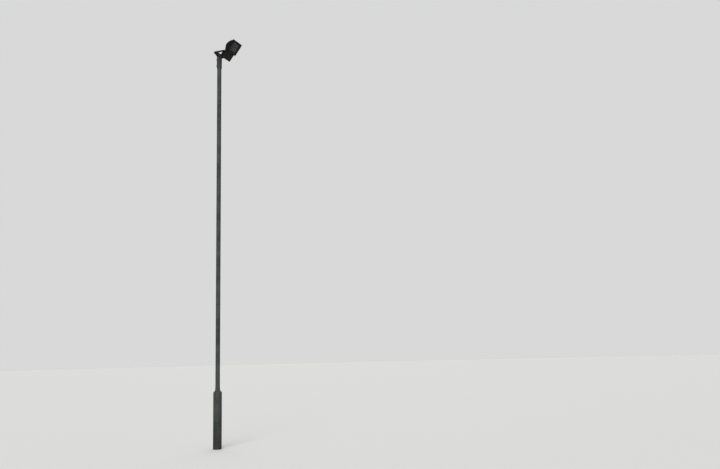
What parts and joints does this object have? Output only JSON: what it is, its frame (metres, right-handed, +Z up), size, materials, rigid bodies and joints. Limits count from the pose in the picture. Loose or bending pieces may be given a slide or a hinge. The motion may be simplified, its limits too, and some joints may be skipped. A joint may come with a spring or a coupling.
{
  "type": "floodlight column",
  "caption": "Stepped tubular steel lighting column, galvanised, with a sleeve bracket and one black floodlight in a tilting stirrup on its top.",
  "frame": {"origin": "On the column's axis at ground level, in the flat lower face of the base tube", "axes": "+Z up along the column, +X the way the floodlight aims, +Y along the stirrup's pivots"},
  "size_m": [0.5366, 0.3492, 8.2809],
  "materials": {
    "galvanised": "weathered hot-dip galvanised steel, dull dark grey with a faint spangle",
    "bolt_steel": "zinc plated, dulled",
    "painted_bracket": "black powder coat, weathered",
    "lamp_paint": "black powder coat on die-cast aluminium",
    "cover_paint": "black semi-gloss paint",
    "reflector_sheet": "anodised hammered sheet, dusty",
    "holder_ceramic": "white porcelain",
    "lamp_glass": "clear quartz",
    "front_glass": "toughened glass, dusty, faint green tint",
    "gland_plastic": "black polyamide",
    "rubber_seal": "black silicone rubber"
  },
  "bodies": {
    "column": {"base_tube": "galvanised", "shoulder": "galvanised", "shaft": "galvanised", "base_door": "galvanised", "door_tongue": "galvanised", "door_lock": "bolt_steel"},
    "bracket": {"bracket_sleeve": "galvanised", "sleeve_cap": "galvanised", "upper_set_screws": "bolt_steel", "lower_set_screws": "bolt_steel", "mounting_plate": "painted_bracket", "near_gusset": "painted_bracket", "far_gusset": "painted_bracket", "cable_grommet": "rubber_seal", "stirrup": "painted_bracket", "stirrup_bolts": "bolt_steel", "stirrup_nuts": "bolt_steel"},
    "lamp": {"lamp_housing": "lamp_paint", "reflector": "reflector_sheet", "near_reflector_end": "reflector_sheet", "far_reflector_end": "reflector_sheet", "lamp_holder": "holder_ceramic", "lamp_tube": "lamp_glass", "gear_cover": "cover_paint", "cover_screws": "bolt_steel", "cable_gland": "gland_plastic", "near_pivot_bolt": "bolt_steel", "far_pivot_bolt": "bolt_steel", "frame_gasket": "rubber_seal", "hinge_lugs": "lamp_paint", "hinge_pins": "bolt_steel"},
    "glass_frame": {"front_frame": "lamp_paint", "front_glass": "front_glass", "glass_seal": "rubber_seal", "captive_screws": "bolt_steel"}
  },
  "joints": [
    {"name": "bracket_turn", "type": "hinge", "parent": "column", "child": "bracket", "pos_m": [0, 0, 8], "axis": [0, 0, 1], "range_deg": [-180, 180]},
    {"name": "lamp_tilt", "type": "hinge", "parent": "bracket", "child": "lamp", "pos_m": [0.227, 0, 8.062], "axis": [0, 1, 0], "range_deg": [-38, 52]},
    {"name": "frame_hinge", "type": "hinge", "parent": "lamp", "child": "glass_frame", "pos_m": [0.27046, 0, 8.04454], "axis": [0, 1, 0], "range_deg": [0, 120]}
  ]
}
